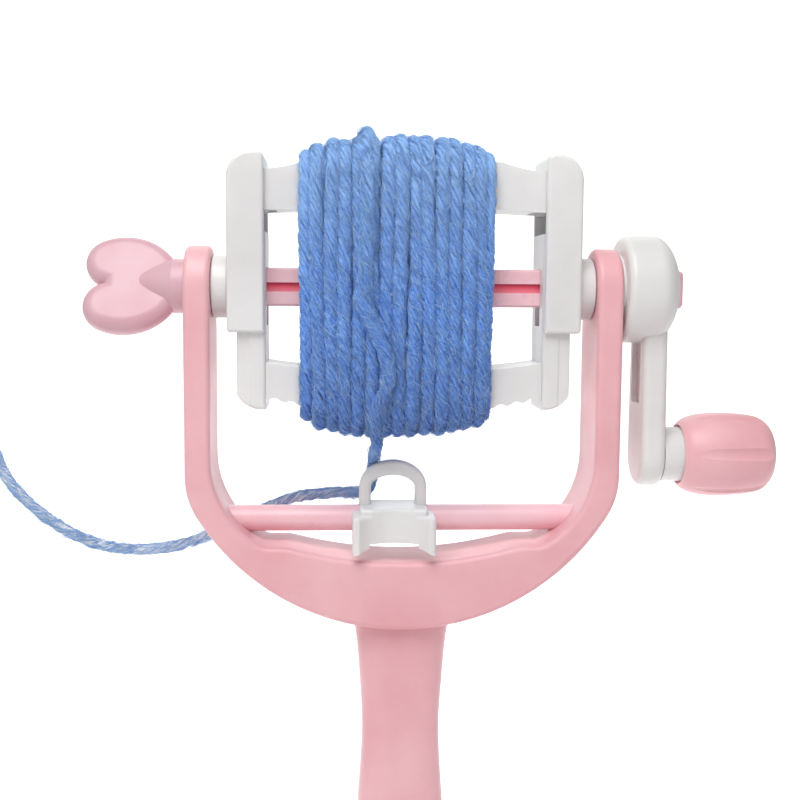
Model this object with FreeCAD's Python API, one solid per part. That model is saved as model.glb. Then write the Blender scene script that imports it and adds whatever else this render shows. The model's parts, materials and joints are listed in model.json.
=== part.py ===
"""Hand-held yarn ball winder: a fork with a handle, a crank-driven reel and a sliding yarn guide.

Millimetres.  +X points along the spindle towards the crank, +Y points away from the user's
thumb and +Z points up the fork.  The origin is the middle of the grip.  All parts are drawn
about the spindle axis (z = 0 there) and are lifted by SPINDLE_HEIGHT when they are written.
"""
import FreeCAD
import Part
import math
import os

Vec = FreeCAD.Vector
X_AXIS = Vec(1, 0, 0)
Y_AXIS = Vec(0, 1, 0)
Z_AXIS = Vec(0, 0, 1)

# ---- driving dimensions -------------------------------------------------------------
SPINDLE_HEIGHT = 160.0      # spindle axis above the middle of the grip

FORK_HALF_WIDTH = 71.0      # outer face of each arm
FORK_HALF_GAP = 62.6        # inner face of each arm
FORK_HALF_DEPTH = 13.3      # the arms end in a full round of this radius
FORK_EDGE_RADIUS = 1.8
BOWL_RADIUS = 79.0          # outer curve of the bowl
BOWL_BOTTOM = -112.3
OUTER_CORNER_RADIUS = 25.0  # where an arm runs into the bowl, outside
INNER_CORNER_RADIUS = 32.5  # the same, inside
INNER_CORNER_Z = -56.0
SHELF_Z = -84.6             # small flat beside the hollow of the bowl
HOLLOW_RADIUS = 140.0       # shallow hollow along the top of the bowl
HOLLOW_BOTTOM = -89.8
BEARING_RADIUS = 8.9        # bore in each arm
RUNNING_GAP = 0.06          # radial, shafts and sleeves in their bores
PRESS_GAP = 0.02            # all round, between pieces that are pressed or glued together
CUT_OVER = 1.0              # how far a cutting tool stands out of the piece that it cuts

ROD_Z = -77.0
ROD_RADIUS = 4.35
ROD_HALF_LENGTH = 60.0

HANDLE_BOTTOM = -212.0
TENON = (20.0, 11.0, 13.0)  # handle tenon: width, depth, height
TENON_GAP = 0.05
HANDLE_SECTIONS = [         # height, half width and half depth, from the head to the swell
    (-106.0, 16.9, 9.9),
    (-113.0, 15.8, 9.4),
    (-121.0, 14.8, 9.0),
    (-134.0, 13.8, 8.6),
    (-150.0, 13.1, 8.4),
    (-168.0, 14.0, 9.0),
    (-186.0, 15.2, 9.6),
    (-200.0, 15.0, 9.6),
]

SHAFT_HEIGHT = 12.4         # the bar's section along Z
SHAFT_DEPTH = 8.0           # the bar's section along Y
SHAFT_GROOVE = (3.0, 1.3)   # groove along both sides: height, depth
SHAFT_LEFT = -76.0
SHAFT_RIGHT = 93.1
SHAFT_GROOVE_END = 88.6     # the free end is solid
SHAFT_END_BEVEL = 1.2
SHAFT_EDGE_BEVEL = 0.7
HOLE_GAP = 0.1              # all round, between the bar and the holes it drives

HEART_LOBE_RADIUS = 8.4
HEART_LOBE_OFFSET = 7.85    # height of each lobe's centre above or below the spindle axis
HEART_LOBE_X = -95.6
HEART_SIDE_RADIUS = 19.0    # the bulging sides, tangent to the lobes
HEART_SIDE_X = -91.0
HEART_NECK_RADIUS = 7.0     # inside the collar
HEART_NECK_OFFSET = 1.0
HEART_THICKNESS = 9.0
HEART_EDGE_RADIUS = 4.1
HEART_FILL = (-97.9, -84.0)  # the cleft between the lobes is filled along X, up to full thickness
HEART_FILL_HALF = 4.0
HEART_CONE = (-96.0, -75.2)  # the cone that grows out of both faces into the collar, along X
HEART_TILT = 28.0           # the heart is turned about the spindle against the bar
COLLAR_RADIUS = 8.9
COLLAR_FACE = -71.3

BOSS_RADIUS = 10.2          # round bosses between the reel and the arms
CHEEK_OUTER = 57.1          # the reel's cheeks, measured along X
CHEEK_INNER = 45.2
CHEEK_TOP = 42.8
CHEEK_BOTTOM = -14.5
CHEEK_HALF_DEPTH = 12.8
CHEEK_WALL = 2.0
TONGUE_OUTER = 54.1
TONGUE_INNER = 44.8
TONGUE_TOP = 17.6
TONGUE_BOTTOM = -39.6
TONGUE_HALF_DEPTH = 10.6
STEP_X = 50.3               # beyond this the tongue is thinner and the channel narrower
STEP_DEPTH = 0.35
STEP_HALF_RUN = 0.3         # half the width of the slope between the two
SLIDE_GAP = 0.15            # between the channel and the thinner side of the tongue
COLLAPSE_TRAVEL = 6.0       # how far the lower half slides up into the upper half

BAR_HALF_DEPTH = 10.4
UPPER_INNER_Z = 23.9        # face of the upper bar that looks at the spindle, at its ends
LOWER_INNER_Z = 24.3        # the same for the lower bar, below the spindle
UPPER_END_Z = 37.5          # outer face of the upper bar at its ends
LOWER_END_Z = 35.6          # the same for the lower bar, below the spindle
BAR_CROWN_Z = 40.6          # outer face of both bars at mid length
UPPER_BAR_FLOOR = 3.4       # thickness left under the pockets of the bars
LOWER_BAR_FLOOR = 5.2

CRANK_INNER = 72.0
CRANK_OUTER = 90.7
CRANK_HUB_RADIUS = 17.8
CRANK_THROW = 55.5          # spindle axis to knob axis
ARM_INNER = 78.7
ARM_OUTER = 87.1
ARM_END_RADIUS = 10.6
ARM_ROOT_HALF_WIDTH = 9.2

SPIGOT_RADIUS = 8.2         # inner end of the crank's sleeve, which holds its collar
SPIGOT_END = 58.0

NECK_RADIUS = 9.2
NECK_END = 97.2
PIVOT_RADIUS = 5.0
PIVOT_END = 114.6
PIVOT_SEAT = 5.0            # depth of the pivot's seat in the arm
KNOB_LEFT = 93.6
KNOB_RIGHT = 125.3
KNOB_FLUTES = 6
FLUTE_RADIUS = 3.2          # round section of each flute, much wider than deep
FLUTE_FLOOR = 13.40         # distance of the flutes' floor from the knob's axis at FLUTE_X
FLUTE_X = 105.6
FLUTE_SWEEP = 69.5          # the floor is an arc of this radius, which runs out near X = 99
FLUTE_FIRST = 7.0           # degrees from the knob's front to its first flute
CAP_RADIUS = 6.1
CAP_SEAT = 119.9
CAP_PROUD = 0.2
WASHER_RADIUS = 5.7
WASHER_THICKNESS = 0.9
SCREW_RADIUS = 1.4
SCREW_END = 103.1
SCREW_HEAD = (2.9, 2.2)     # radius, height

GUIDE_X = -3.2              # where the yarn guide stands along its rod
SADDLE_HALF_WIDTH = 13.6
GUIDE_HALF_WIDTH = 11.3
GUIDE_TOP = -72.0
SADDLE_TOP = -74.0
GUIDE_BOTTOM = -83.4
SADDLE_FRONT = -17.0
LIP_BOTTOM = -86.3
SCOOP_RADIUS = 14.0
SCOOP_Y = -25.2
GUIDE_BACK = 6.6
LIP_ARCH = (30.2, -113.8)   # underside of the lip: radius, height of the centre
LOOP_Z = -66.3              # centre of the eye's arch
LOOP_RISE = 9.3
LOOP_WALL = 4.0             # at its sides
LOOP_CROWN = 5.2            # at its top
LOOP_DEPTH = 4.0

CAKE_LEFT = -34.2
CAKE_RIGHT = 28.4
CAKE_HALF_HEIGHT = 48.3
CAKE_HALF_DEPTH = 18.5
YARN_RADIUS = 1.8

# Free yarn from under the cake, behind the guide's eye, out to the left, as its polygon.
YARN_ROUTE = [
    Vec(-8.7, -11.4, -50.9),
    Vec(-9.2, -5.2, -53.7),
    Vec(-9.6, 2.2, -57.9),
    Vec(-10.0, 4.1, -64.2),
    Vec(-11.4, 5.6, -69.8),
    Vec(-20.0, 9.6, -70.1),
    Vec(-29.0, 14.8, -71.6),
    Vec(-40.0, 18.0, -73.8),
    Vec(-56.0, 18.7, -82.4),
    Vec(-76.5, 18.3, -91.2),
    Vec(-100.0, 18.0, -92.2),
    Vec(-119.0, 17.7, -83.8),
    Vec(-135.6, 18.1, -68.4),
    Vec(-140.0, 18.6, -56.0),
    Vec(-145.0, 18.3, -44.6),
]
KNOT_RADIUS = 3.7

PARTS_DIR = "parts"


# ---- small helpers ------------------------------------------------------------------
def write(name, shape):
    """Lift a finished shape to its height above the grip and write it as one STEP file."""
    lifted = shape.copy()
    lifted.translate(Vec(0, 0, SPINDLE_HEIGHT))
    lifted.exportStep(os.path.join(PARTS_DIR, name + ".step"))
    valid = lifted.isValid()
    print("%-20s %9.1f mm3  valid %s  solids %d" % (name, lifted.Volume, valid, len(lifted.Solids)))


def box(x, y, z):
    """Box from three (low, high) pairs."""
    corner = Vec(x[0], y[0], z[0])
    return Part.makeBox(x[1] - x[0], y[1] - y[0], z[1] - z[0], corner)


def rod_x(radius, x0, x1, z=0.0, y=0.0):
    """Cylinder along X."""
    return Part.makeCylinder(radius, x1 - x0, Vec(x0, y, z), X_AXIS)


def arc(a, b, c):
    return Part.Arc(a, b, c).toShape()


def line(a, b):
    return Part.LineSegment(a, b).toShape()


def ellipse_arc(centre, major, minor, degrees):
    """Part of an ellipse that starts at the end of its major half-axis and turns to the minor."""
    ellipse = Part.Ellipse(centre + major, centre + minor, centre)
    return Part.ArcOfEllipse(ellipse, 0, math.radians(degrees)).toShape()


def prism_y(edges, half_depth):
    """Closed outline in the XZ plane, drawn at y = 0, made into a plate along Y."""
    face = Part.Face(Part.Wire(Part.__sortEdges__(edges)))
    face.translate(Vec(0, -half_depth, 0))
    return face.extrude(Vec(0, 2 * half_depth, 0))


def mirrored_x(shape):
    return shape.mirror(Vec(0, 0, 0), X_AXIS)


def polar(centre, radius, degrees):
    """Point on a circle in the XZ plane."""
    a = math.radians(degrees)
    return Vec(centre.x + radius * math.cos(a), 0, centre.z + radius * math.sin(a))


def angle_of(centre, point):
    return math.degrees(math.atan2(point.z - centre.z, point.x - centre.x))


def arc_between(centre, radius, start, end):
    """Arc in the XZ plane about a centre, between two angles in degrees."""
    middle = (start + end) / 2
    return arc(polar(centre, radius, start), polar(centre, radius, middle), polar(centre, radius, end))


def fillet_where(shape, radius, wanted):
    """Round every edge whose middle point passes the test."""
    edges = []
    for edge in shape.Edges:
        middle = edge.valueAt((edge.FirstParameter + edge.LastParameter) / 2)
        if wanted(middle, edge):
            edges.append(edge)
    return shape.makeFillet(radius, edges)


def drive_hole(x0, x1):
    """Oblong hole that the spindle bar drives."""
    half_y = SHAFT_DEPTH / 2 + HOLE_GAP
    half_z = SHAFT_HEIGHT / 2 + HOLE_GAP
    return box((x0, x1), (-half_y, half_y), (-half_z, half_z))


# ---- fork, handle and guide rod -----------------------------------------------------
def fork_outline_half():
    """Right half of the fork's outline in the XZ plane, from the bowl's bottom to its hollow."""
    bowl = Vec(0, 0, BOWL_BOTTOM + BOWL_RADIUS)
    corner_x = FORK_HALF_WIDTH - OUTER_CORNER_RADIUS
    corner_drop = math.sqrt((BOWL_RADIUS - OUTER_CORNER_RADIUS) ** 2 - corner_x ** 2)
    corner = Vec(corner_x, 0, bowl.z - corner_drop)
    meet = angle_of(bowl, corner)

    inner = Vec(FORK_HALF_GAP - INNER_CORNER_RADIUS, 0, INNER_CORNER_Z)
    toe_radius = 6.0
    toe_z = SHELF_Z + toe_radius
    toe_run = math.sqrt((INNER_CORNER_RADIUS - toe_radius) ** 2 - (inner.z - toe_z) ** 2)
    toe = Vec(inner.x + toe_run, 0, toe_z)
    toe_angle = angle_of(inner, toe)

    hollow = Vec(0, 0, HOLLOW_BOTTOM + HOLLOW_RADIUS)
    brow_radius = 12.0
    brow_z = SHELF_Z - brow_radius
    brow_run = math.sqrt((HOLLOW_RADIUS + brow_radius) ** 2 - (hollow.z - brow_z) ** 2)
    brow = Vec(brow_run, 0, brow_z)
    brow_angle = angle_of(hollow, brow)

    top = FORK_HALF_DEPTH
    return [
        arc_between(bowl, BOWL_RADIUS, -90, meet),
        arc_between(corner, OUTER_CORNER_RADIUS, meet, 0),
        line(polar(corner, OUTER_CORNER_RADIUS, 0), Vec(FORK_HALF_WIDTH, 0, top)),
        line(Vec(FORK_HALF_WIDTH, 0, top), Vec(FORK_HALF_GAP, 0, top)),
        line(Vec(FORK_HALF_GAP, 0, top), polar(inner, INNER_CORNER_RADIUS, 0)),
        arc_between(inner, INNER_CORNER_RADIUS, 0, toe_angle),
        arc_between(toe, toe_radius, toe_angle, -90),
        line(polar(toe, toe_radius, -90), polar(brow, brow_radius, 90)),
        arc_between(brow, brow_radius, 90, 180 + brow_angle),
        arc_between(hollow, HOLLOW_RADIUS, brow_angle, -90),
    ]


def fork_frame():
    half = fork_outline_half()
    other = [mirrored_x(edge) for edge in half]
    plate = prism_y(half + other, FORK_HALF_DEPTH)
    round_top = rod_x(FORK_HALF_DEPTH, -FORK_HALF_WIDTH - 1, FORK_HALF_WIDTH + 1)
    across = (-FORK_HALF_WIDTH - CUT_OVER, FORK_HALF_WIDTH + CUT_OVER)
    below = box(across, (-FORK_HALF_DEPTH, FORK_HALF_DEPTH), (BOWL_BOTTOM - CUT_OVER, 0))
    shape = plate.common(round_top.fuse(below)).removeSplitter()

    def on_rim(middle, edge):
        if middle.z > 0.01:
            radius = math.hypot(middle.y, middle.z)
            return abs(radius - FORK_HALF_DEPTH) < 0.05
        return abs(abs(middle.y) - FORK_HALF_DEPTH) < 0.05 and not is_across(edge)

    shape = fillet_where(shape, FORK_EDGE_RADIUS, on_rim)
    bores = rod_x(BEARING_RADIUS, -FORK_HALF_WIDTH - 1, FORK_HALF_WIDTH + 1)
    sockets = rod_x(ROD_RADIUS + PRESS_GAP, -ROD_HALF_LENGTH - 0.1, ROD_HALF_LENGTH + 0.1, ROD_Z)
    width, depth, height = TENON
    mortise = box(
        (-width / 2 - TENON_GAP, width / 2 + TENON_GAP),
        (-depth / 2 - TENON_GAP, depth / 2 + TENON_GAP),
        (BOWL_BOTTOM - CUT_OVER, BOWL_BOTTOM + height + 0.3),
    )
    return shape.cut(bores).cut(sockets).cut(mortise)


def is_across(edge):
    """True for a straight edge between the two sides of the plane of an end face."""
    ends = [v.Point for v in edge.Vertexes]
    return len(ends) == 2 and abs(ends[0].z) < 0.01 and abs(ends[1].z) < 0.01


def rounded_section(z, half_w, half_d):
    """Soft four-sided section of the handle, as one closed curve."""
    points = []
    count = 32
    power = 2.0 / 2.9
    for i in range(count):
        a = 2 * math.pi * (i + 0.5) / count
        c = math.cos(a)
        s = math.sin(a)
        x = half_w * math.copysign(abs(c) ** power, c)
        y = half_d * math.copysign(abs(s) ** power, s)
        points.append(Vec(x, y, z))
    curve = Part.BSplineCurve()
    curve.interpolate(points, PeriodicFlag=True)
    return Part.Wire([curve.toShape()])


def handle():
    """Waisted grip whose head is hollowed to the bowl, with a tenon into the fork."""
    wires = [rounded_section(*s) for s in HANDLE_SECTIONS]
    end_z, end_w, end_d = HANDLE_SECTIONS[-1]
    end_height = end_z - HANDLE_BOTTOM
    roundness = 0.72
    steps = (25, 45, 62, 78)
    for degrees in steps:
        a = math.radians(degrees)
        shrink = 1 - roundness * (1 - math.cos(a))
        z = end_z - end_height * math.sin(a) / math.sin(math.radians(steps[-1]))
        wires.append(rounded_section(z, end_w * shrink, end_d * shrink))
    grip = Part.makeLoft(wires, True, False)
    bowl_centre = Vec(0, -2 * FORK_HALF_DEPTH, BOWL_BOTTOM + BOWL_RADIUS)
    bowl = Part.makeCylinder(BOWL_RADIUS + TENON_GAP, 4 * FORK_HALF_DEPTH, bowl_centre, Y_AXIS)
    grip = grip.cut(bowl)
    width, depth, height = TENON
    tenon = box((-width / 2, width / 2), (-depth / 2, depth / 2), (BOWL_BOTTOM - 8, BOWL_BOTTOM + height))
    return grip.fuse(tenon).removeSplitter()


def guide_rod():
    rod = rod_x(ROD_RADIUS, -ROD_HALF_LENGTH, ROD_HALF_LENGTH, ROD_Z)
    return rod.makeChamfer(0.5, [e for e in rod.Edges if len(e.Vertexes) == 1])


# ---- spindle: heart knob and grooved bar --------------------------------------------
def heart_lobe(side):
    """One lobe of the heart with its bulging side, soft all round; it narrows into the collar."""
    lobe = Vec(HEART_LOBE_X, 0, HEART_LOBE_OFFSET)
    lead = HEART_SIDE_RADIUS - HEART_LOBE_RADIUS
    drop = math.sqrt(lead ** 2 - (HEART_SIDE_X - HEART_LOBE_X) ** 2)
    bulge = Vec(HEART_SIDE_X, 0, HEART_LOBE_OFFSET - drop)
    crest = angle_of(bulge, lobe)
    reach = HEART_SIDE_RADIUS - HEART_NECK_RADIUS
    climb = math.degrees(math.asin((HEART_NECK_OFFSET - bulge.z) / reach))
    neck = polar(bulge, reach, climb)
    aim = angle_of(lobe, neck)
    lean = math.degrees(math.acos((HEART_LOBE_RADIUS - HEART_NECK_RADIUS) / neck.sub(lobe).Length))
    inside = aim - lean
    edges = [
        arc_between(lobe, HEART_LOBE_RADIUS, crest, inside + 360),
        line(polar(lobe, HEART_LOBE_RADIUS, inside), polar(neck, HEART_NECK_RADIUS, inside)),
        arc_between(neck, HEART_NECK_RADIUS, inside, climb),
        arc_between(bulge, HEART_SIDE_RADIUS, climb, crest),
    ]
    plate = prism_y(edges, HEART_THICKNESS / 2)

    def on_face_rim(middle, edge):
        return abs(abs(middle.y) - HEART_THICKNESS / 2) < 0.01
    plate = fillet_where(plate, HEART_EDGE_RADIUS, on_face_rim)
    return plate if side > 0 else plate.mirror(Vec(0, 0, 0), Z_AXIS)


def heart_middle():
    """Fills the valley between the lobes, so that only a soft cleft is left at the heart's top."""
    half_y = HEART_THICKNESS / 2
    block = box(HEART_FILL, (-half_y, half_y), (-HEART_FILL_HALF, HEART_FILL_HALF))
    brinks = []
    for edge in block.Edges:
        middle = edge.CenterOfMass
        if abs(middle.x - HEART_FILL[0]) < 0.01 and abs(abs(middle.y) - half_y) < 0.01:
            brinks.append(edge)
    return block.makeFillet(HEART_EDGE_RADIUS, brinks)


def heart_knob():
    tip, base = HEART_CONE
    cone = Part.makeCone(0.4, COLLAR_RADIUS, base - tip, Vec(tip, 0, 0), X_AXIS)
    collar = rod_x(COLLAR_RADIUS, base, COLLAR_FACE)
    shape = heart_lobe(1).fuse([heart_lobe(-1), heart_middle(), cone, collar]).removeSplitter()
    shape.rotate(Vec(0, 0, 0), X_AXIS, -HEART_TILT)
    half_y = SHAFT_DEPTH / 2 + PRESS_GAP
    half_z = SHAFT_HEIGHT / 2 + PRESS_GAP
    socket = box((SHAFT_LEFT - 0.1, COLLAR_FACE + CUT_OVER), (-half_y, half_y), (-half_z, half_z))
    return shape.cut(socket)


def spindle_bar():
    """Bar with a groove down each side that stops short of its bevelled free end."""
    half_y = SHAFT_DEPTH / 2
    half_z = SHAFT_HEIGHT / 2
    bar = box((SHAFT_LEFT, SHAFT_RIGHT), (-half_y, half_y), (-half_z, half_z))
    at_end = [e for e in bar.Edges if abs(e.CenterOfMass.x - SHAFT_RIGHT) < 0.01]
    bar = bar.makeChamfer(SHAFT_END_BEVEL, at_end)
    along = [e for e in bar.Edges if e.Length > 100]
    bar = bar.makeChamfer(SHAFT_EDGE_BEVEL, along)
    height, depth = SHAFT_GROOVE
    for side in (-1, 1):
        outer = side * (half_y + CUT_OVER)
        floor = side * (half_y - depth)
        along_x = (SHAFT_LEFT - CUT_OVER, SHAFT_GROOVE_END)
        groove = box(along_x, sorted((outer, floor)), (-height / 2, height / 2))
        bar = bar.cut(groove)
    return bar


# ---- reel ---------------------------------------------------------------------------
def boss(side, bore_radius):
    """Round boss that fills the gap between a cheek and an arm."""
    shape = rod_x(BOSS_RADIUS, CHEEK_OUTER + 0.1, FORK_HALF_GAP - 0.2)
    shape = shape.makeFillet(0.5, [e for e in shape.Edges if len(e.Vertexes) == 1])
    if bore_radius:
        shape = shape.cut(rod_x(bore_radius, CHEEK_OUTER, FORK_HALF_GAP))
    return shape if side > 0 else mirrored_x(shape)


def left_bush():
    """Boss and journal in one: it runs in the left arm and is driven by the bar."""
    journal = rod_x(BEARING_RADIUS - RUNNING_GAP, -FORK_HALF_WIDTH + 0.1, -CHEEK_OUTER - 0.6)
    shape = boss(-1, 0).fuse(journal).removeSplitter()
    return shape.cut(drive_hole(-FORK_HALF_WIDTH - CUT_OVER, -CHEEK_OUTER + CUT_OVER))


def crank_collar():
    """Ring pressed on the crank's sleeve inside the fork, which keeps the crank in its arm."""
    return boss(1, SPIGOT_RADIUS + PRESS_GAP)


def cheek_block():
    """Outside of an upper cheek: a tall block with a big round at its outer top corner."""
    big = 8.2
    small = 2.0
    low = 1.2
    centre_big = Vec(CHEEK_OUTER - big, 0, CHEEK_TOP - big)
    centre_small = Vec(CHEEK_INNER + small, 0, CHEEK_TOP - small)
    centre_low = Vec(CHEEK_OUTER - low, 0, CHEEK_BOTTOM + low)
    edges = [
        line(Vec(CHEEK_INNER, 0, CHEEK_BOTTOM), polar(centre_low, low, -90)),
        arc_between(centre_low, low, -90, 0),
        line(polar(centre_low, low, 0), polar(centre_big, big, 0)),
        arc_between(centre_big, big, 0, 90),
        line(polar(centre_big, big, 90), polar(centre_small, small, 90)),
        arc_between(centre_small, small, 90, 180),
        line(polar(centre_small, small, 180), Vec(CHEEK_INNER, 0, CHEEK_BOTTOM)),
    ]
    block = prism_y(edges, CHEEK_HALF_DEPTH)

    def on_side_rim(middle, edge):
        return abs(abs(middle.y) - CHEEK_HALF_DEPTH) < 0.01
    return fillet_where(block, 1.1, on_side_rim)


def upper_cheek(side):
    """Channel that is open towards the yarn and at its foot, with a low pad inside each wall."""
    room_y = CHEEK_HALF_DEPTH - CHEEK_WALL
    room_x = TONGUE_OUTER + 0.2
    room_z = (CHEEK_BOTTOM - CUT_OVER, UPPER_END_Z + 0.1)
    room = box((CHEEK_INNER - CUT_OVER, room_x), (-room_y, room_y), room_z)
    shape = cheek_block().cut(room)
    pad_x = (STEP_X + 2 * STEP_HALF_RUN, room_x + 0.2)
    pad_z = (CHEEK_BOTTOM + 0.6, UPPER_INNER_Z - 0.6)
    pad_face = TONGUE_HALF_DEPTH - STEP_DEPTH + SLIDE_GAP
    for wall in (-1, 1):
        pad_y = sorted((wall * pad_face, wall * (room_y + 0.2)))
        shape = shape.fuse(box(pad_x, pad_y, pad_z))
    shape = shape.cut(drive_hole(room_x - CUT_OVER, CHEEK_OUTER + CUT_OVER)).removeSplitter()
    return shape if side > 0 else mirrored_x(shape)


def lower_cheek(side):
    """Tongue that slides in the channel; its long slot lets the spindle bar stay in place."""
    heel_x = TONGUE_OUTER - 6.9
    heel = arc(Vec(TONGUE_OUTER, 0, -34.8), Vec(TONGUE_OUTER - 2.7, 0, -37.9), Vec(heel_x, 0, TONGUE_BOTTOM))
    edges = [
        line(Vec(TONGUE_INNER, 0, TONGUE_TOP), Vec(TONGUE_OUTER, 0, TONGUE_TOP)),
        line(Vec(TONGUE_OUTER, 0, TONGUE_TOP), Vec(TONGUE_OUTER, 0, -34.8)),
        heel,
        line(Vec(heel_x, 0, TONGUE_BOTTOM), Vec(TONGUE_INNER, 0, TONGUE_BOTTOM)),
        line(Vec(TONGUE_INNER, 0, TONGUE_BOTTOM), Vec(TONGUE_INNER, 0, TONGUE_TOP)),
    ]
    shape = prism_y(edges, TONGUE_HALF_DEPTH)

    def outer_rim(middle, edge):
        return abs(abs(middle.y) - TONGUE_HALF_DEPTH) < 0.01 and middle.z < TONGUE_TOP - 1
    shape = fillet_where(shape, 1.2, outer_rim)
    for wall in (-1, 1):
        shape = shape.cut(tongue_step(wall))
    half_y = SHAFT_DEPTH / 2 + 2 * HOLE_GAP
    half_z = SHAFT_HEIGHT / 2 + 2 * HOLE_GAP
    slot_x = (TONGUE_INNER - CUT_OVER, TONGUE_OUTER + CUT_OVER)
    shape = shape.cut(box(slot_x, (-half_y, half_y), (-half_z - COLLAPSE_TRAVEL, half_z)))
    return shape if side > 0 else mirrored_x(shape)


def tongue_step(wall):
    """Cutting tool that thins the outer part of a tongue, with a slope at its edge."""
    foot_z = TONGUE_BOTTOM - CUT_OVER
    corners = [
        (STEP_X - STEP_HALF_RUN, TONGUE_HALF_DEPTH),
        (STEP_X + STEP_HALF_RUN, TONGUE_HALF_DEPTH - STEP_DEPTH),
        (TONGUE_OUTER + CUT_OVER, TONGUE_HALF_DEPTH - STEP_DEPTH),
        (TONGUE_OUTER + CUT_OVER, TONGUE_HALF_DEPTH + CUT_OVER),
        (STEP_X - STEP_HALF_RUN, TONGUE_HALF_DEPTH + CUT_OVER),
    ]
    outline = [Vec(x, wall * y, foot_z) for x, y in corners]
    face = Part.Face(Part.makePolygon(outline + outline[:1]))
    return face.extrude(Vec(0, 0, TONGUE_TOP - TONGUE_BOTTOM + 2 * CUT_OVER))


def bar_pocket(face_z, floor_z):
    """Hollow in the outer face of a reel bar, under the yarn."""
    wall = 2.0
    half_y = BAR_HALF_DEPTH - wall
    return box((-27.0, 27.0), (-half_y, half_y), sorted((face_z, floor_z)))


def upper_bar():
    """Bar across the top of the reel: flat ends in the cheeks, a raised crown for the yarn."""
    end = TONGUE_OUTER
    brink = Vec(43.0, 0, UPPER_END_Z)
    shoulder = Vec(31.0, 0, BAR_CROWN_Z - 0.3)
    belly_rise = 1.85
    rise = Part.BSplineCurve()
    rise.interpolate([brink, Vec(36.6, 0, UPPER_END_Z + 1.15), shoulder])
    right = [
        line(Vec(end, 0, UPPER_INNER_Z), Vec(end, 0, UPPER_END_Z)),
        line(Vec(end, 0, UPPER_END_Z), brink),
        rise.toShape(),
    ]
    left = [mirrored_x(edge) for edge in right]
    ridge = arc(shoulder, Vec(0, 0, BAR_CROWN_Z), Vec(-shoulder.x, 0, shoulder.z))
    crest = Vec(0, 0, UPPER_INNER_Z + belly_rise)
    belly = arc(Vec(end, 0, UPPER_INNER_Z), crest, Vec(-end, 0, UPPER_INNER_Z))
    bar = prism_y(right + left + [ridge, belly], BAR_HALF_DEPTH)
    bar = bar.cut(bar_pocket(BAR_CROWN_Z + CUT_OVER, UPPER_INNER_Z + UPPER_BAR_FLOOR))
    notch_half_depth = 5.5
    notch_height = 2.2
    for side in (-1, 1):
        notch_x = sorted((side * 41.6, side * 44.8))
        notch_z = (UPPER_INNER_Z - CUT_OVER, UPPER_INNER_Z + notch_height)
        bar = bar.cut(box(notch_x, (-notch_half_depth, notch_half_depth), notch_z))
    return bar


def wavy_edge():
    """Lower edge of the lower bar from its right end inwards: three soft waves."""
    root = TONGUE_INNER
    wave_end = 28.7
    first_hollow = 41.7
    pitch = 5.2
    swing = 0.45
    steps = 36
    points = []
    for i in range(steps + 1):
        x = root + (wave_end - root) * i / steps
        middle_line = -BAR_CROWN_Z + (BAR_CROWN_Z - LOWER_END_Z) * (x / root) ** 2
        points.append(Vec(x, 0, middle_line + swing * math.cos(2 * math.pi * (x - first_hollow) / pitch)))
    curve = Part.BSplineCurve()
    curve.interpolate(points)
    return curve.toShape(), points[0], points[-1]


def lower_bar():
    """Bar across the foot of the reel, with a wavy outer edge that grips the first turns."""
    root = TONGUE_INNER
    belly_drop = 3.3
    wave, start, stop = wavy_edge()
    outer = arc(stop, Vec(0, 0, -BAR_CROWN_Z), Vec(-stop.x, 0, stop.z))
    belly = Vec(0, 0, -LOWER_INNER_Z - belly_drop)
    inner = arc(Vec(-root, 0, -LOWER_INNER_Z), belly, Vec(root, 0, -LOWER_INNER_Z))
    ends = [line(Vec(s * root, 0, start.z), Vec(s * root, 0, -LOWER_INNER_Z)) for s in (-1, 1)]
    bar = prism_y([wave, mirrored_x(wave), outer, inner] + ends, BAR_HALF_DEPTH)
    return bar.cut(bar_pocket(-BAR_CROWN_Z - CUT_OVER, -LOWER_INNER_Z - LOWER_BAR_FLOOR))


# ---- crank --------------------------------------------------------------------------
def crank_arm():
    """Domed hub, flat arm and sleeve, with the driving hole right through."""
    dome_x = 82.5
    dome_run = 9.1
    rim = 2.2
    sweep = math.degrees(math.asin((CRANK_OUTER - dome_x) / dome_run))
    dome = ellipse_arc(Vec(dome_x, 0, 0), Vec(0, 0, CRANK_HUB_RADIUS), Vec(dome_run, 0, 0), sweep)
    brink = Vec(CRANK_OUTER, 0, CRANK_HUB_RADIUS * math.cos(math.radians(sweep)))
    centre_rim = Vec(CRANK_INNER + rim, 0, CRANK_HUB_RADIUS - rim)
    outline = [
        line(Vec(CRANK_INNER, 0, 0), polar(centre_rim, rim, 180)),
        arc_between(centre_rim, rim, 180, 90),
        line(polar(centre_rim, rim, 90), Vec(dome_x, 0, CRANK_HUB_RADIUS)),
        dome,
        line(brink, Vec(CRANK_OUTER, 0, 0)),
        line(Vec(CRANK_OUTER, 0, 0), Vec(CRANK_INNER, 0, 0)),
    ]
    hub = Part.Face(Part.Wire(Part.__sortEdges__(outline))).revolve(Vec(0, 0, 0), X_AXIS, 360)

    shape = hub.fuse(crank_web())
    step_radius = 11.5
    step = rod_x(step_radius, FORK_HALF_WIDTH + 0.2, CRANK_INNER + 0.5)
    sleeve = rod_x(BEARING_RADIUS - RUNNING_GAP, FORK_HALF_GAP - 0.2, CRANK_INNER + 1)
    spigot = rod_x(SPIGOT_RADIUS, SPIGOT_END, FORK_HALF_GAP)
    shape = shape.fuse([step, sleeve, spigot]).removeSplitter()
    seat = rod_x(PIVOT_RADIUS + PRESS_GAP, ARM_OUTER - PIVOT_SEAT, ARM_OUTER + CUT_OVER, -CRANK_THROW)
    return shape.cut(drive_hole(SPIGOT_END - CUT_OVER, CRANK_OUTER + CUT_OVER)).cut(seat)


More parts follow.
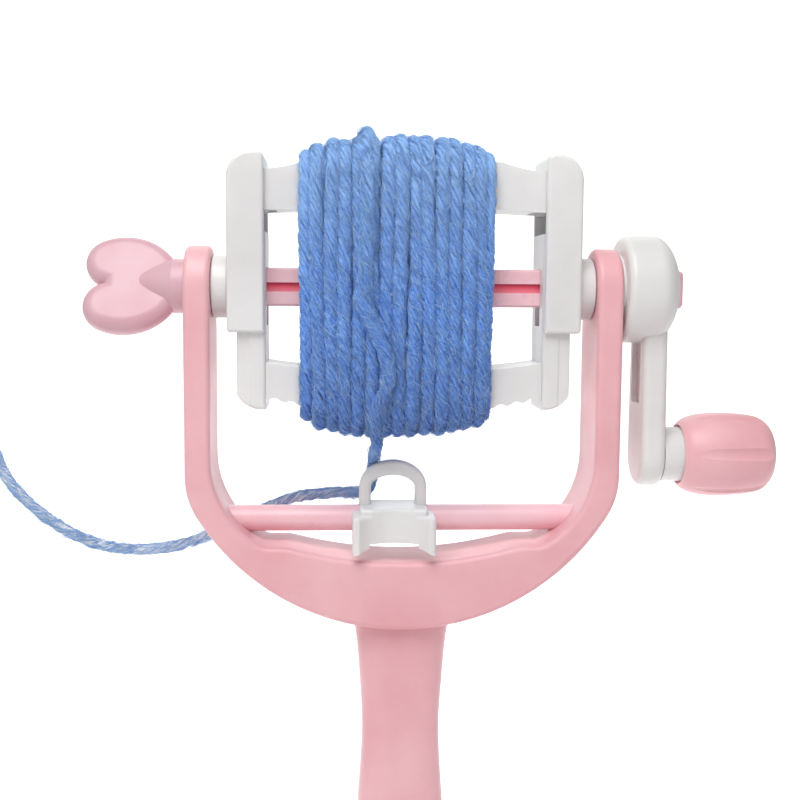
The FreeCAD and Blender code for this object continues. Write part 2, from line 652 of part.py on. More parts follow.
def crank_web():
    """The crank's arm: wider at the knob, hollowed on the side that faces the fork."""
    end = Vec(0, 0, -CRANK_THROW)
    a = math.degrees(math.asin((ARM_END_RADIUS - ARM_ROOT_HALF_WIDTH) / CRANK_THROW))
    c = math.cos(math.radians(a))
    s = math.sin(math.radians(a))
    foot = [Vec(0, sign * ARM_END_RADIUS * c, end.z + ARM_END_RADIUS * s) for sign in (-1, 1)]
    root = [Vec(0, sign * ARM_ROOT_HALF_WIDTH, 0) for sign in (-1, 1)]
    tip = Vec(0, 0, end.z - ARM_END_RADIUS)
    edges = [
        line(root[0], foot[0]),
        arc(foot[0], tip, foot[1]),
        line(foot[1], root[1]),
        line(root[1], root[0]),
    ]
    face = Part.Face(Part.Wire(edges))
    face.translate(Vec(ARM_INNER, 0, 0))
    web = face.extrude(Vec(ARM_OUTER - ARM_INNER, 0, 0))

    def on_arm_rim(middle, edge):
        at_face = min(abs(middle.x - ARM_INNER), abs(middle.x - ARM_OUTER)) < 0.01
        return at_face and middle.z < -1
    web = fillet_where(web, 2.6, on_arm_rim)
    pocket_depth = 1.8
    floor_x = ARM_INNER + pocket_depth
    half_width = 5.4
    foot_z = -38.0
    head_z = -8.0
    pocket = box((ARM_INNER - CUT_OVER, floor_x), (-half_width, half_width), (foot_z, head_z))
    foot_edges = [e for e in pocket.Edges if abs(e.CenterOfMass.z - foot_z) < 0.01]
    corners = [e for e in foot_edges if abs(e.tangentAt(0).x) > 0.9]
    return web.cut(pocket.makeFillet(2.0, corners))


def knob_spindle():
    """Neck against the arm, then the thin pivot that the knob turns on."""
    z = -CRANK_THROW
    neck = rod_x(NECK_RADIUS, ARM_OUTER + PRESS_GAP, NECK_END, z)
    pivot = rod_x(PIVOT_RADIUS, ARM_OUTER - PIVOT_SEAT + 0.1, PIVOT_END, z)
    pilot = rod_x(SCREW_RADIUS + PRESS_GAP, SCREW_END - 0.6, PIVOT_END + CUT_OVER, z)
    return neck.fuse(pivot).removeSplitter().cut(pilot)


def barrel():
    """Solid barrel of the knob about the X axis."""
    rise = [
        Vec(KNOB_LEFT, 0, 10.3),
        Vec(95.1, 0, 11.8),
        Vec(98.5, 0, 13.2),
        Vec(108.5, 0, 14.1),
        Vec(117.5, 0, 13.4),
        Vec(121.4, 0, 12.3),
        Vec(123.9, 0, 10.2),
        Vec(125.1, 0, 7.2),
    ]
    side = Part.BSplineCurve()
    side.interpolate(rise)
    outline = [
        line(Vec(KNOB_LEFT, 0, 0), rise[0]),
        side.toShape(),
        line(rise[-1], Vec(KNOB_RIGHT, 0, CAP_RADIUS)),
        line(Vec(KNOB_RIGHT, 0, CAP_RADIUS), Vec(KNOB_RIGHT, 0, 0)),
        line(Vec(KNOB_RIGHT, 0, 0), Vec(KNOB_LEFT, 0, 0)),
    ]
    return Part.Face(Part.Wire(Part.__sortEdges__(outline))).revolve(Vec(0, 0, 0), X_AXIS, 360)


def crank_knob():
    """Barrel knob with shallow flutes, a bore for its pivot and a recess for the screw."""
    shell = barrel()
    centre = Vec(FLUTE_X, 0, FLUTE_FLOOR - FLUTE_SWEEP)
    for i in range(KNOB_FLUTES):
        flute = Part.makeTorus(FLUTE_SWEEP + FLUTE_RADIUS, FLUTE_RADIUS, centre, Y_AXIS)
        flute.rotate(Vec(0, 0, 0), X_AXIS, 90.0 - FLUTE_FIRST + i * 360.0 / KNOB_FLUTES)
        shell = shell.cut(flute)
    bore = NECK_RADIUS + 0.35
    mouth = Part.makeCone(bore + 0.5, bore, 1.6, Vec(KNOB_LEFT, 0, 0), X_AXIS)
    shell = shell.cut(rod_x(bore, KNOB_LEFT - CUT_OVER, NECK_END + 0.3)).cut(mouth)
    shell = shell.cut(rod_x(PIVOT_RADIUS + RUNNING_GAP, KNOB_LEFT, PIVOT_END))
    shell = shell.cut(rod_x(CAP_RADIUS + PRESS_GAP, PIVOT_END - 0.1, KNOB_RIGHT + CUT_OVER))
    shell.translate(Vec(0, 0, -CRANK_THROW))
    return shell


def knob_cap():
    face = KNOB_RIGHT + CAP_PROUD
    cap = rod_x(CAP_RADIUS, CAP_SEAT, face, -CRANK_THROW)
    rim = [e for e in cap.Edges if abs(e.CenterOfMass.x - face) < 0.01 and len(e.Vertexes) == 1]
    return cap.makeFillet(0.6, rim)


def knob_washer():
    left = PIVOT_END + PRESS_GAP
    right = left + WASHER_THICKNESS
    ring = rod_x(WASHER_RADIUS, left, right, -CRANK_THROW)
    return ring.cut(rod_x(SCREW_RADIUS + 0.3, left - CUT_OVER, right + CUT_OVER, -CRANK_THROW))


def knob_screw():
    """Pan-head screw with a cross recess, tapped into the end of the pivot."""
    z = -CRANK_THROW
    seat = PIVOT_END + 2 * PRESS_GAP + WASHER_THICKNESS
    head_radius, head_height = SCREW_HEAD
    shank = rod_x(SCREW_RADIUS, SCREW_END, seat + 0.2, z)
    top = seat + head_height
    head = rod_x(head_radius, seat, top, z)
    head = head.makeFillet(0.9, [e for e in head.Edges if abs(e.CenterOfMass.x - top) < 0.01])
    shape = shank.fuse(head).removeSplitter()
    recess_depth = 1.1
    half_length = 1.7
    half_width = 0.35
    for turn in (0, 90):
        slot_x = (top - recess_depth, top + CUT_OVER)
        slot = box(slot_x, (-half_length, half_length), (-half_width, half_width))
        slot.rotate(Vec(0, 0, 0), X_AXIS, turn)
        slot.translate(Vec(0, 0, z))
        shape = shape.cut(slot)
    return shape


# ---- yarn guide ---------------------------------------------------------------------
def arch_plate(half_width, rise, depth_low, depth_high):
    """Arch-shaped plate of the guide's eye, standing on the guide's body."""
    base = GUIDE_TOP - 2
    crown = ellipse_arc(Vec(0, 0, LOOP_Z), Vec(half_width, 0, 0), Vec(0, 0, rise), 180)
    edges = [
        crown,
        line(Vec(-half_width, 0, LOOP_Z), Vec(-half_width, 0, base)),
        line(Vec(-half_width, 0, base), Vec(half_width, 0, base)),
        line(Vec(half_width, 0, base), Vec(half_width, 0, LOOP_Z)),
    ]
    plate = prism_y(edges, (depth_high - depth_low) / 2)
    plate.translate(Vec(0, (depth_high + depth_low) / 2, 0))
    return plate


def thumb_scoop(shape):
    """Hollow out the front of the guide for the thumb with an upright cylinder."""
    return shape.cut(Part.makeCylinder(SCOOP_RADIUS, 40, Vec(0, SCOOP_Y, -100), Z_AXIS))


def guide_saddle():
    """Wide front part of the guide; its foot has a lip that hangs in front of the bowl."""
    upright = (GUIDE_BOTTOM, SADDLE_TOP)
    saddle = box((-SADDLE_HALF_WIDTH, SADDLE_HALF_WIDTH), (SADDLE_FRONT, -3.2), upright)
    lip_back = -FORK_HALF_DEPTH - 0.4
    lip = box((-SADDLE_HALF_WIDTH, SADDLE_HALF_WIDTH), (SADDLE_FRONT, lip_back), (LIP_BOTTOM, GUIDE_BOTTOM))
    saddle = thumb_scoop(saddle.fuse(lip).removeSplitter())
    radius, centre_z = LIP_ARCH
    under = Part.makeCylinder(radius, -SADDLE_FRONT, Vec(0, lip_back + SADDLE_FRONT, centre_z), Y_AXIS)
    saddle = saddle.cut(under)

    def front_upright(middle, edge):
        return abs(middle.y - SADDLE_FRONT) < 0.01 and abs(edge.tangentAt(edge.FirstParameter).z) > 0.9

    def front_corner(middle, edge):
        return front_upright(middle, edge) and abs(middle.x) > SADDLE_HALF_WIDTH - 0.1

    def scoop_edge(middle, edge):
        return front_upright(middle, edge) and not front_corner(middle, edge)
    saddle = fillet_where(saddle, 1.3, front_corner)
    saddle = fillet_where(saddle, 0.6, scoop_edge)

    def top_rim(middle, edge):
        return abs(middle.z - SADDLE_TOP) < 0.01 and middle.y < -3.3
    return fillet_where(saddle, 1.0, top_rim)


def guide_body():
    """Block that slides on the rod."""
    block = box((-GUIDE_HALF_WIDTH, GUIDE_HALF_WIDTH), (-13.0, GUIDE_BACK), (GUIDE_BOTTOM, GUIDE_TOP))
    upright = [e for e in block.Edges if abs(e.tangentAt(e.FirstParameter).z) > 0.9]
    block = thumb_scoop(block.makeFillet(1.6, upright))

    def top_rim(middle, edge):
        return abs(middle.z - GUIDE_TOP) < 0.01
    return fillet_where(block, 1.1, top_rim)


def guide_eye():
    """Arch over the body that the yarn passes behind."""
    eye = arch_plate(GUIDE_HALF_WIDTH, LOOP_RISE, -LOOP_DEPTH, 0.0)
    inner_half = GUIDE_HALF_WIDTH - LOOP_WALL
    inner_rise = LOOP_RISE - LOOP_CROWN
    eye = eye.cut(arch_plate(inner_half, inner_rise, -LOOP_DEPTH - CUT_OVER, CUT_OVER))

    def on_face_rim(middle, edge):
        return middle.z > GUIDE_TOP - 1.9 and min(abs(middle.y), abs(middle.y + LOOP_DEPTH)) < 0.01
    return fillet_where(eye, 1.3, on_face_rim)


def yarn_guide():
    shape = guide_body().fuse([guide_saddle(), guide_eye()]).removeSplitter()
    shape = shape.cut(rod_x(ROD_RADIUS + RUNNING_GAP, -20, 20, ROD_Z))
    shape.translate(Vec(GUIDE_X, 0, 0))
    return shape


# ---- yarn ---------------------------------------------------------------------------
def rounded_rectangle_x(half_y, half_z, radius, x0, x1):
    """Prism along X whose section is a rectangle with round corners."""
    block = box((x0, x1), (-half_y, half_y), (-half_z, half_z))
    along = [e for e in block.Edges if abs(e.tangentAt(e.FirstParameter).x) > 0.9]
    return block.makeFillet(radius, along)


def yarn_cake():
    """The wound yarn as one thick sleeve round both bars."""
    sleeve = rounded_rectangle_x(CAKE_HALF_DEPTH, CAKE_HALF_HEIGHT, 13.0, CAKE_LEFT, CAKE_RIGHT)

    def at_ends(middle, edge):
        return min(abs(middle.x - CAKE_LEFT), abs(middle.x - CAKE_RIGHT)) < 0.01
    sleeve = fillet_where(sleeve, 5.0, at_ends)
    inside = rounded_rectangle_x(BAR_HALF_DEPTH + 0.4, BAR_CROWN_Z + 0.3, 1.0, CAKE_LEFT - 1, CAKE_RIGHT + 1)
    return sleeve.cut(inside)


def tube_along(route, radius):
    """Tube on straight runs joined by tangent arcs; also gives the line's length and its radii."""
    edges = []
    radii = []
    start = route[0]
    for before, corner, after in zip(route, route[1:], route[2:]):
        back = before.sub(corner)
        ahead = after.sub(corner)
        turn = math.pi - back.getAngle(ahead)
        cut = 0.45 * min(back.Length, ahead.Length)
        bend = cut / math.tan(turn / 2)
        radii.append(bend)
        back.normalize()
        ahead.normalize()
        enter = corner + back * cut
        leave = corner + ahead * cut
        inward = back + ahead
        inward.normalize()
        centre = corner + inward * (bend / math.cos(turn / 2))
        middle = centre - inward * bend
        edges.append(line(start, enter))
        edges.append(arc(enter, middle, leave))
        start = leave
    edges.append(line(start, route[-1]))
    path = Part.Wire(edges)
    heading = route[1].sub(route[0])
    section = Part.Wire([Part.Circle(route[0], heading, radius).toShape()])
    return path.makePipeShell([section], True, False), path.Length, radii


def free_yarn():
    tube, length, radii = tube_along(YARN_ROUTE, YARN_RADIUS)
    ideal = math.pi * YARN_RADIUS ** 2 * length
    print("free yarn %.1f mm, volume / ideal %.4f" % (length, tube.Volume / ideal))
    print("bend radii", " ".join("%.1f" % r for r in radii))
    return tube


def end_knot():
    """Knot at the far end of the free yarn, cut flat where the yarn enters it."""
    heading = YARN_ROUTE[-1].sub(YARN_ROUTE[-2])
    heading.normalize()
    centre = YARN_ROUTE[-1] + heading * (KNOT_RADIUS * 0.85)
    ball = Part.makeSphere(KNOT_RADIUS, centre)
    behind = Part.makeCylinder(3 * KNOT_RADIUS, 3 * KNOT_RADIUS, YARN_ROUTE[-1], heading * -1)
    return ball.cut(behind)


# ---- all parts ----------------------------------------------------------------------
def main():
    os.makedirs(PARTS_DIR, exist_ok=True)
    write("fork_frame", fork_frame())
    write("handle", handle())
    write("guide_rod", guide_rod())
    write("heart_knob", heart_knob())
    write("spindle_bar", spindle_bar())
    write("left_bush", left_bush())
    write("crank_collar", crank_collar())
    for name, side in (("left", -1), ("right", 1)):
        write("upper_cheek_" + name, upper_cheek(side))
        write("lower_cheek_" + name, lower_cheek(side))
    write("upper_bar", upper_bar())
    write("lower_bar", lower_bar())
    write("crank_arm", crank_arm())
    write("knob_spindle", knob_spindle())
    write("crank_knob", crank_knob())
    write("knob_cap", knob_cap())
    write("knob_washer", knob_washer())
    write("knob_screw", knob_screw())
    write("yarn_guide", yarn_guide())
    write("yarn_cake", yarn_cake())
    write("free_yarn", free_yarn())
    write("yarn_end_knot", end_knot())


main()
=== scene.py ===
import json
import math

import bpy
import numpy as np
from mathutils import Matrix, Vector


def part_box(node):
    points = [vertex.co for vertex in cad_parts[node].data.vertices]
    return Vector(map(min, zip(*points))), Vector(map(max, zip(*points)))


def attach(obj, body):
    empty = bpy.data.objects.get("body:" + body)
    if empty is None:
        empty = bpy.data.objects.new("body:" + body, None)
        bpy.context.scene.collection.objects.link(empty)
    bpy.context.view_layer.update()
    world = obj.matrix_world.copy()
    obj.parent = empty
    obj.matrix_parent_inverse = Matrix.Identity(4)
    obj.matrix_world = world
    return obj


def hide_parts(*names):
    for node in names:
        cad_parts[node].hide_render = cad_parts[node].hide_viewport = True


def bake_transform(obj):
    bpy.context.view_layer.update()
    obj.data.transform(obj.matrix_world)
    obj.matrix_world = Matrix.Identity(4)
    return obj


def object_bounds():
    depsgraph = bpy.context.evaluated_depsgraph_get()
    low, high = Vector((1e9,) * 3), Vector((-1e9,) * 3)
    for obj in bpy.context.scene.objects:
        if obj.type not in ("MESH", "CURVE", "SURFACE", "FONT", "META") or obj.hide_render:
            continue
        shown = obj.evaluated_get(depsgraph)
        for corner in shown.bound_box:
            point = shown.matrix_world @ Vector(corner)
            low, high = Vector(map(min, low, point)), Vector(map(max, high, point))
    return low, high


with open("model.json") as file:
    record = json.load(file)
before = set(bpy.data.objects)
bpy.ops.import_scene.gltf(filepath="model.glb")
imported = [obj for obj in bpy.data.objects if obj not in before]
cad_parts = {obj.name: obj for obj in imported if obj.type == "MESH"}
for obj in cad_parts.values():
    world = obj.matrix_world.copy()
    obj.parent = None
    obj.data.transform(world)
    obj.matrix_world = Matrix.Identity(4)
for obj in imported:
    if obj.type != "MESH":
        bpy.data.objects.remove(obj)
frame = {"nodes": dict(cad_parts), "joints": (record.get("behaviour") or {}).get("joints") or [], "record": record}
CAD_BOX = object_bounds()

# Everything is in metres, in the model's own frame: +X to the crank, +Y away, +Z up.
MM = 0.001
JOINTS = {joint["name"]: joint for joint in frame["joints"]}
AXIS = Vector(JOINTS["rotor_spin"]["pos_m"])        # a point on the spindle's axis
CAKE_LOW, CAKE_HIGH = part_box("yarn_cake")
BAR_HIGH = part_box("upper_bar")[1]


# ---- camera -------------------------------------------------------------------------
CAMERA_PLACE = Vector((-22.25, -383.13, 0.04)) * MM        # from the spindle's axis
CAMERA_YAW = 3.197              # degrees to the right
CAMERA_PITCH = 5.557            # degrees down
CAMERA_ROLL = 0.42              # degrees
LENS_MM = 51.93
SENSOR_MM = 36.0
NEAREST = 0.01                  # nothing closer than this is seen


def add_camera():
    """Camera in front of the winder, a little left of it, looking slightly down and right."""
    yaw = math.radians(CAMERA_YAW)
    pitch = math.radians(CAMERA_PITCH)
    roll = math.radians(CAMERA_ROLL)
    ahead = Vector((math.sin(yaw) * math.cos(pitch), math.cos(yaw) * math.cos(pitch), -math.sin(pitch)))
    level = Vector((math.cos(yaw), -math.sin(yaw), 0))
    upward = level.cross(ahead)
    right = level * math.cos(roll) + upward * math.sin(roll)
    above = upward * math.cos(roll) - level * math.sin(roll)
    data = bpy.data.cameras.new("camera")
    data.lens = LENS_MM
    data.sensor_width = SENSOR_MM
    data.clip_start = NEAREST
    camera = bpy.data.objects.new("camera", data)
    bpy.context.scene.collection.objects.link(camera)
    place = AXIS + CAMERA_PLACE
    turn = Matrix((right, above, -ahead)).transposed().to_4x4()
    camera.matrix_world = Matrix.Translation(place) @ turn
    bpy.context.scene.camera = camera


# ---- materials ----------------------------------------------------------------------
class Nodes:
    """Short way to build one procedural material."""

    def __init__(self, name):
        self.material = bpy.data.materials.new(name)
        self.material.use_nodes = True
        self.tree = self.material.node_tree
        self.shader = self.tree.nodes["Principled BSDF"]

    @classmethod
    def of(cls, material):
        """The same helper over a material that is already there."""
        helper = cls.__new__(cls)
        helper.material = material
        helper.tree = material.node_tree
        helper.shader = helper.tree.nodes["Principled BSDF"]
        return helper

    def add(self, kind, **settings):
        node = self.tree.nodes.new(kind)
        for name, value in settings.items():
            setattr(node, name, value)
        return node

    def link(self, source, target):
        self.tree.links.new(source, target)

    def noise(self, coordinates, scale, detail=3.0, roughness=0.5):
        node = self.add("ShaderNodeTexNoise")
        node.inputs["Scale"].default_value = scale
        node.inputs["Detail"].default_value = detail
        node.inputs["Roughness"].default_value = roughness
        self.link(coordinates, node.inputs["Vector"])
        return node.outputs["Fac"]

    def ramp(self, factor, *stops):
        node = self.add("ShaderNodeValToRGB")
        elements = node.color_ramp.elements
        while len(elements) < len(stops):
            elements.new(0.5)
        for element, (place, colour) in zip(elements, stops):
            element.position = place
            element.color = (*colour, 1.0)
        self.link(factor, node.inputs["Fac"])
        return node.outputs["Color"]

    def spread(self, factor, low, high, from_low=0.3, from_high=0.7):
        """Map one range of a value onto another and clamp it. A noise's middle is the default range."""
        node = self.add("ShaderNodeMapRange")
        node.inputs["From Min"].default_value = from_low
        node.inputs["From Max"].default_value = from_high
        node.inputs["To Min"].default_value = low
        node.inputs["To Max"].default_value = high
        self.link(factor, node.inputs["Value"])
        return node.outputs["Result"]

    def mix(self, factor, first, second, mode="MIX"):
        """Mix of two colours; each of the three inputs is a number, a colour or a socket."""
        node = self.add("ShaderNodeMix", data_type="RGBA", blend_type=mode)
        factor_socket, first_socket, second_socket = node.inputs[0], node.inputs[6], node.inputs[7]
        for value, socket in ((factor, factor_socket), (first, first_socket), (second, second_socket)):
            if isinstance(value, (int, float)):
                socket.default_value = value
            elif isinstance(value, tuple):
                socket.default_value = (*value, 1.0)
            else:
                self.link(value, socket)
        return node.outputs[2]

    def split(self, coordinates):
        """X, Y and Z of a place as sockets by name."""
        node = self.add("ShaderNodeSeparateXYZ")
        self.link(coordinates, node.inputs[0])
        return node.outputs

    def arithmetic(self, operation, *values):
        """Result of a math operation on one or two sockets."""
        node = self.add("ShaderNodeMath", operation=operation)
        for value, socket in zip(values, node.inputs):
            self.link(value, socket)
        return node.outputs[0]

    def colour_so_far(self):
        """Socket that the surface colour comes from now."""
        return self.shader.inputs["Base Color"].links[0].from_socket

    def set_colour(self, socket):
        self.link(socket, self.shader.inputs["Base Color"])

    def stretched(self, coordinates, scale):
        node = self.add("ShaderNodeMapping")
        node.inputs["Scale"].default_value = scale
        self.link(coordinates, node.inputs["Vector"])
        return node.outputs["Vector"]

    def bump(self, heights):
        """Chain of bumps from (height, depth in metres, strength)."""
        normal = None
        for height, depth, strength in heights:
            node = self.add("ShaderNodeBump")
            node.inputs["Distance"].default_value = depth
            node.inputs["Strength"].default_value = strength
            self.link(height, node.inputs["Height"])
            if normal is not None:
                self.link(normal, node.inputs["Normal"])
            normal = node.outputs["Normal"]
        self.link(normal, self.shader.inputs["Normal"])


def moulded_plastic(name, light, base, deep, roughness, scatter, glow):
    """Injection-moulded plastic: faint flow mottling, orange-peel skin, and rims lightened partly by fine rub wear
    and partly by painted edge light.
    """
    m = Nodes(name)
    place = m.add("ShaderNodeTexCoord").outputs["Object"]
    cloud = m.noise(place, 28.0, 4.0, 0.55)
    flow = m.noise(m.stretched(place, (60.0, 60.0, 14.0)), 1.0, 3.0, 0.6)
    speck = m.noise(place, 2600.0, 2.0, 0.7)
    colour = m.ramp(cloud, (0.3, deep), (0.5, base), (0.72, light))
    colour = m.mix(m.spread(flow, 0.0, 0.22), colour, light)
    colour = m.mix(m.spread(speck, 0.0, 0.10, 0.45, 0.75), colour, deep)

    # Convex rims are mixed toward the light tone: partly rub wear, partly painted light where thin edges glow.
    rims = m.add("ShaderNodeAmbientOcclusion")
    rims.inside = True
    rims.samples = 4
    rims.inputs["Distance"].default_value = 0.9 * MM
    rim_patches = m.noise(place, 420.0, 3.0, 0.6)
    at_rim = m.spread(rims.outputs["AO"], 0.55, 0.0, 0.45, 0.95)
    rub_wear_and_painted_edge_light = m.arithmetic("MULTIPLY", at_rim, m.spread(rim_patches, 0.15, 1.0, 0.35, 0.6))
    m.set_colour(m.mix(rub_wear_and_painted_edge_light, colour, light))

    scratch = m.noise(m.stretched(place, (900.0, 900.0, 90.0)), 1.0, 2.0, 0.8)
    peel = m.noise(place, 1500.0, 2.0, 0.5)
    dull = m.noise(place, 75.0, 4.0, 0.6)
    general = m.spread(dull, roughness - 0.05, roughness + 0.07)
    rough = m.arithmetic("ADD", general, m.spread(scratch, 0.0, 0.07, 0.55, 0.75))
    m.link(rough, m.shader.inputs["Roughness"])
    m.bump([(peel, 0.02 * MM, 0.25), (scratch, 0.015 * MM, 0.18), (cloud, 0.25 * MM, 0.12)])

    m.shader.inputs["IOR"].default_value = 1.49
    m.shader.inputs["Specular IOR Level"].default_value = 0.5
    m.shader.inputs["Subsurface Weight"].default_value = scatter
    m.shader.inputs["Subsurface Radius"].default_value = glow
    m.shader.inputs["Subsurface Scale"].default_value = 1.0
    return m.material


def plated_steel():
    """Zinc-plated steel with turned marks and a few dull patches."""
    m = Nodes("plated_steel")
    place = m.add("ShaderNodeTexCoord").outputs["Object"]
    lines = m.noise(m.stretched(place, (300.0, 4000.0, 4000.0)), 1.0, 3.0, 0.7)
    patch = m.noise(place, 700.0, 3.0, 0.6)
    m.set_colour(m.ramp(patch, (0.3, (0.42, 0.42, 0.43)), (0.7, (0.66, 0.66, 0.65))))
    m.link(m.spread(lines, 0.22, 0.42), m.shader.inputs["Roughness"])
    m.bump([(lines, 0.01 * MM, 0.3)])
    m.shader.inputs["Metallic"].default_value = 1.0
    return m.material


def yarn_material(name, deep, base, light, along_scale=0.55, round_scale=9.0):
    """Soft acrylic yarn. The UV map runs along (in millimetres) and round each bundle of fibres."""
    m = Nodes(name)
    along = m.add("ShaderNodeUVMap", uv_map="fibres").outputs["UV"]
    place = m.add("ShaderNodeTexCoord").outputs["Object"]
    fibre = m.noise(m.stretched(along, (along_scale, round_scale, 1.0)), 1.0, 4.0, 0.65)
    wisps = m.noise(m.stretched(along, (1.6, 5.0, 1.0)), 1.0, 3.0, 0.6)
    tuft = m.noise(place, 520.0, 4.0, 0.65)
    drift = m.noise(place, 55.0, 2.0, 0.5)
    colour = m.ramp(fibre, (0.36, deep), (0.50, base), (0.65, light))
    colour = m.mix(m.spread(tuft, 0.0, 0.45, 0.42, 0.72), colour, light)
    colour = m.mix(m.spread(wisps, 0.0, 0.30, 0.50, 0.75), colour, deep)
    m.set_colour(m.mix(m.spread(drift, 0.0, 0.22), colour, base))
    m.link(m.spread(fibre, 0.72, 0.95), m.shader.inputs["Roughness"])
    m.bump([(fibre, 0.30 * MM, 0.9), (wisps, 0.20 * MM, 0.6), (tuft, 0.15 * MM, 0.5)])
    m.shader.inputs["Specular IOR Level"].default_value = 0.06
    m.shader.inputs["Sheen Weight"].default_value = 0.06
    m.shader.inputs["Sheen Roughness"].default_value = 0.45
    m.shader.inputs["Sheen Tint"].default_value = (0.65, 0.80, 1.0, 1.0)
    return m.material


PAINTED_LIGHT_END_X = (-24.0 * MM, -9.5 * MM)                        # left of this the loose yarn is painted pale: painted light
# Heights over which the painted top light and the painted foot shade on the yarn fade in.
TOP_PAINTED_LIGHT_Z = (AXIS.z - 2.0 * MM, AXIS.z + 36.0 * MM)
FOOT_PAINTED_SHADE_Z = (AXIS.z - 40.0 * MM, AXIS.z - 12.0 * MM)


def pale_with_painted_light(material):
    """The loose yarn is painted pale as painted light, and takes the cake's deep blue where it leaves the cake."""
    m = Nodes.of(material)
    parts = m.split(m.add("ShaderNodeTexCoord").outputs["Object"])
    near = m.spread(parts["X"], 0.0, 1.0, *PAINTED_LIGHT_END_X)
    plain = m.colour_so_far()
    m.set_colour(m.mix(near, plain, m.mix(1.0, plain, (0.27, 0.41, 0.75), "MULTIPLY")))
    return m.material


def painted_top_light_and_foot_shade(material):
    """Painted light on the yarn: lighter towards the cake's top as painted top light, deeper and a little purple
    towards its foot as painted shade with a painted pink reflection.
    """
    m = Nodes.of(material)
    parts = m.split(m.add("ShaderNodeTexCoord").outputs["Object"])
    plain = m.colour_so_far()
    # Painted top light above, painted shade with a pink-purple painted reflection below.
    top = m.spread(parts["Z"], 0.0, 0.38, *TOP_PAINTED_LIGHT_Z)
    foot = m.spread(parts["Z"], 1.0, 0.0, *FOOT_PAINTED_SHADE_Z)
    light = m.mix(top, plain, (0.50, 0.76, 1.0))
    deep = m.mix(1.0, light, (0.76, 0.72, 0.78), "MULTIPLY")
    m.set_colour(m.mix(foot, light, deep))
    return m.material


GROOVE_HALF = 1.6 * MM          # half the height of the grooves in the spindle bar
GROOVE_END = 88.5 * MM          # the grooves stop at this X
GROOVE_Y = (2.8 * MM, 3.9 * MM)  # from the grooves' floor to the bar's face


def painted_groove_shade(material):
    """Painted shade in the bar's grooves: a deeper, redder colour, darkest as a painted shadow under their upper
    edge.
    """
    m = Nodes.of(material)
    parts = m.split(m.add("ShaderNodeTexCoord").outputs["Object"])
    groove = (AXIS.z - GROOVE_HALF, AXIS.z + GROOVE_HALF)
    off_middle = m.arithmetic("ABSOLUTE", m.spread(parts["Z"], -1.6, 1.6, *groove))
    sunk = m.spread(m.arithmetic("ABSOLUTE", parts["Y"]), 1.0, 0.0, *GROOVE_Y)
    inside = m.spread(off_middle, 1.0, 0.0, 1.51, 1.59)         # fades just before the groove's edges
    before_end = m.spread(parts["X"], 1.0, 0.0, GROOVE_END, GROOVE_END + 0.2 * MM)
    sunk = m.arithmetic("MULTIPLY", m.arithmetic("MULTIPLY", sunk, inside), before_end)
    height = m.spread(parts["Z"], 0.0, 1.0, *groove)
    # Painted shade and painted shadow: the red gets deeper towards the groove's upper edge.
    groove_shade_tone = m.ramp(height, (0.05, (1.0, 0.33, 0.41)), (0.62, (1.0, 0.13, 0.20)), (0.90, (0.66, 0.04, 0.11)))
    m.set_colour(m.mix(sunk, m.colour_so_far(), groove_shade_tone))
    return m.material


# Colours go from light to deep. Glow is the scatter radius for red, green and blue.
PINK_GLOW = (3.0 * MM, 1.2 * MM, 1.0 * MM)
WHITE_GLOW = (5.0 * MM, 4.6 * MM, 4.2 * MM)
ROSE_TONES = (0.72, 0.50, 0.56), (0.70, 0.44, 0.50), (0.67, 0.36, 0.42)
PINK_TONES = (0.90, 0.55, 0.58), (0.85, 0.46, 0.50), (0.80, 0.39, 0.43)
PALE_TONES = (0.95, 0.66, 0.70), (0.92, 0.58, 0.63), (0.88, 0.50, 0.55)
WHITE_TONES = (0.83, 0.84, 0.83), (0.77, 0.775, 0.765), (0.71, 0.71, 0.70)
ROSE = moulded_plastic("rose_plastic", *ROSE_TONES, 0.33, 0.16, PINK_GLOW)
PINK = moulded_plastic("pink_plastic", *PINK_TONES, 0.36, 0.10, PINK_GLOW)
PALE_PINK = moulded_plastic("pale_pink_plastic", *PALE_TONES, 0.30, 0.12, PINK_GLOW)
WHITE = moulded_plastic("white_plastic", *WHITE_TONES, 0.34, 0.20, WHITE_GLOW)
STEEL = plated_steel()

# Yarn colours go from deep to light.
YARN_TONES = (0.065, 0.180, 0.64), (0.150, 0.335, 0.83), (0.33, 0.59, 1.0)
# The loose yarn's tones are the same blue yarn painted pale: painted light over the cake's cast shadow.
PAINTED_LIGHT_LOOSE_TONES = (0.62, 0.73, 0.90), (0.82, 0.89, 0.98), (0.92, 0.97, 1.0)
FIBRE_TONES = (0.08, 0.21, 0.70), (0.22, 0.45, 0.92), (0.60, 0.84, 1.0)
FUZZ_TONES = (0.14, 0.32, 0.84), (0.34, 0.60, 0.98), (0.66, 0.88, 1.0)
HAIR_SCALES = (0.12, 0.5)
YARN = painted_top_light_and_foot_shade(yarn_material("blue_yarn", *YARN_TONES))
PAINTED_LIGHT_LOOSE_YARN = pale_with_painted_light(yarn_material("blue_yarn_loose_painted_light", *PAINTED_LIGHT_LOOSE_TONES))
FIBRES = painted_top_light_and_foot_shade(yarn_material("blue_fibres", *FIBRE_TONES, *HAIR_SCALES))
FUZZ = yarn_material("blue_fuzz", *FUZZ_TONES, *HAIR_SCALES)
BAR_LOOK = painted_groove_shade(moulded_plastic("bar_plastic", *PALE_TONES, 0.30, 0.12, PINK_GLOW))
OWN_LOOKS = {"heart_knob": ROSE, "guide_rod": PALE_PINK, "spindle_bar": BAR_LOOK}
SLOT_LOOKS = {"pink_plastic": PINK, "white_plastic": WHITE, "screw_steel": STEEL, "blue_yarn": YARN}


